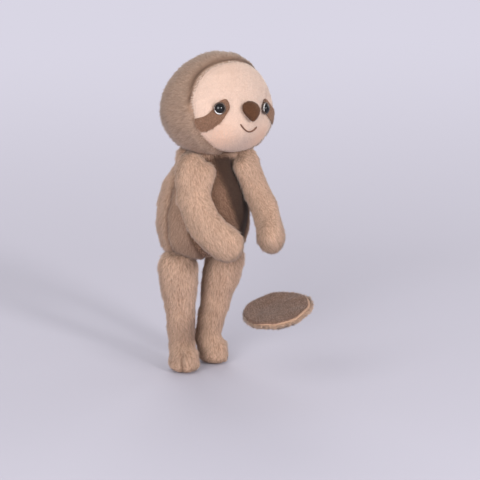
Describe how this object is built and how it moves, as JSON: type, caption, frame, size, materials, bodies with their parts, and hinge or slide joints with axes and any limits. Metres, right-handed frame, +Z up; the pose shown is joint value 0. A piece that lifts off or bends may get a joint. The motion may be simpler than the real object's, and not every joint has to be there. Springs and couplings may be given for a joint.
{
  "type": "plush toy sloth",
  "caption": "Soft toy sloth with a large round head, pear-shaped body, long hanging arms and straight legs, and a loose round belly pad.",
  "frame": {"origin": "middle of the base of the box round the toy and its pad, on the surface that the two feet stand on", "axes": "+Z up, -Y the way the toy faces, +X the toy's own left"},
  "size_m": [0.1184, 0.227, 0.3238],
  "materials": {
    "tan_fur": "long soft pile",
    "cream_plush": "short soft pile",
    "brown_velour": "velour",
    "patch_velour": "velour",
    "nose_velour": "velour",
    "white_fibre": "loose polyester fibre",
    "bean_cloth": "plastic pellets in a thin woven bag",
    "mouth_thread": "embroidery thread",
    "black_gloss": "polished",
    "pale_gloss": "polished",
    "washer_plastic": "moulded"
  },
  "bodies": {
    "torso": {"torso_fur": "tan_fur", "belly_panel": "brown_velour", "torso_stuffing": "white_fibre", "pellet_bag": "bean_cloth"},
    "head": {"head_hood": "tan_fur", "face_panel": "cream_plush", "head_stuffing": "white_fibre", "eye_patch_right": "patch_velour", "eye_patch_left": "patch_velour", "eye_ring_right": "pale_gloss", "eye_ring_left": "pale_gloss", "eye_pupil_right": "black_gloss", "eye_pupil_left": "black_gloss", "eye_washer_right": "washer_plastic", "eye_washer_left": "washer_plastic", "nose": "nose_velour", "mouth_stitch": "mouth_thread"},
    "arm_right": {"arm_fur_right": "tan_fur", "arm_stuffing_right": "white_fibre"},
    "arm_left": {"arm_fur_left": "tan_fur", "arm_stuffing_left": "white_fibre"},
    "leg_right": {"leg_fur_right": "tan_fur", "leg_stuffing_right": "white_fibre"},
    "leg_left": {"leg_fur_left": "tan_fur", "leg_stuffing_left": "white_fibre"},
    "pad": {"pad_fur_back": "tan_fur", "pad_velour_face": "brown_velour", "pad_filling": "white_fibre"}
  },
  "joints": [
    {"name": "neck_turn", "type": "hinge", "parent": "torso", "child": "head", "pos_m": [-0.00421, 0.06508, 0.23], "axis": [0, 0, 1], "range_deg": [-25, 25]},
    {"name": "shoulder_right", "type": "hinge", "parent": "torso", "child": "arm_right", "pos_m": [-0.03541, 0.05213, 0.208], "axis": [-1, 0, 0], "range_deg": [0, 40]},
    {"name": "shoulder_left", "type": "hinge", "parent": "torso", "child": "arm_left", "pos_m": [0.02459, 0.05213, 0.208], "axis": [-1, 0, 0], "range_deg": [0, 40]},
    {"name": "hip_right", "type": "hinge", "parent": "torso", "child": "leg_right", "pos_m": [-0.03941, 0.07113, 0.107], "axis": [-1, 0, 0], "range_deg": [-15, 70]},
    {"name": "hip_left", "type": "hinge", "parent": "torso", "child": "leg_left", "pos_m": [0.01859, 0.07113, 0.107], "axis": [-1, 0, 0], "range_deg": [-15, 70]},
    {"name": "belly_pad_drop", "type": "slide", "parent": "torso", "child": "pad", "axis": [0, 0.5, 0.866], "range_m": [-0.097, 0.03]}
  ]
}
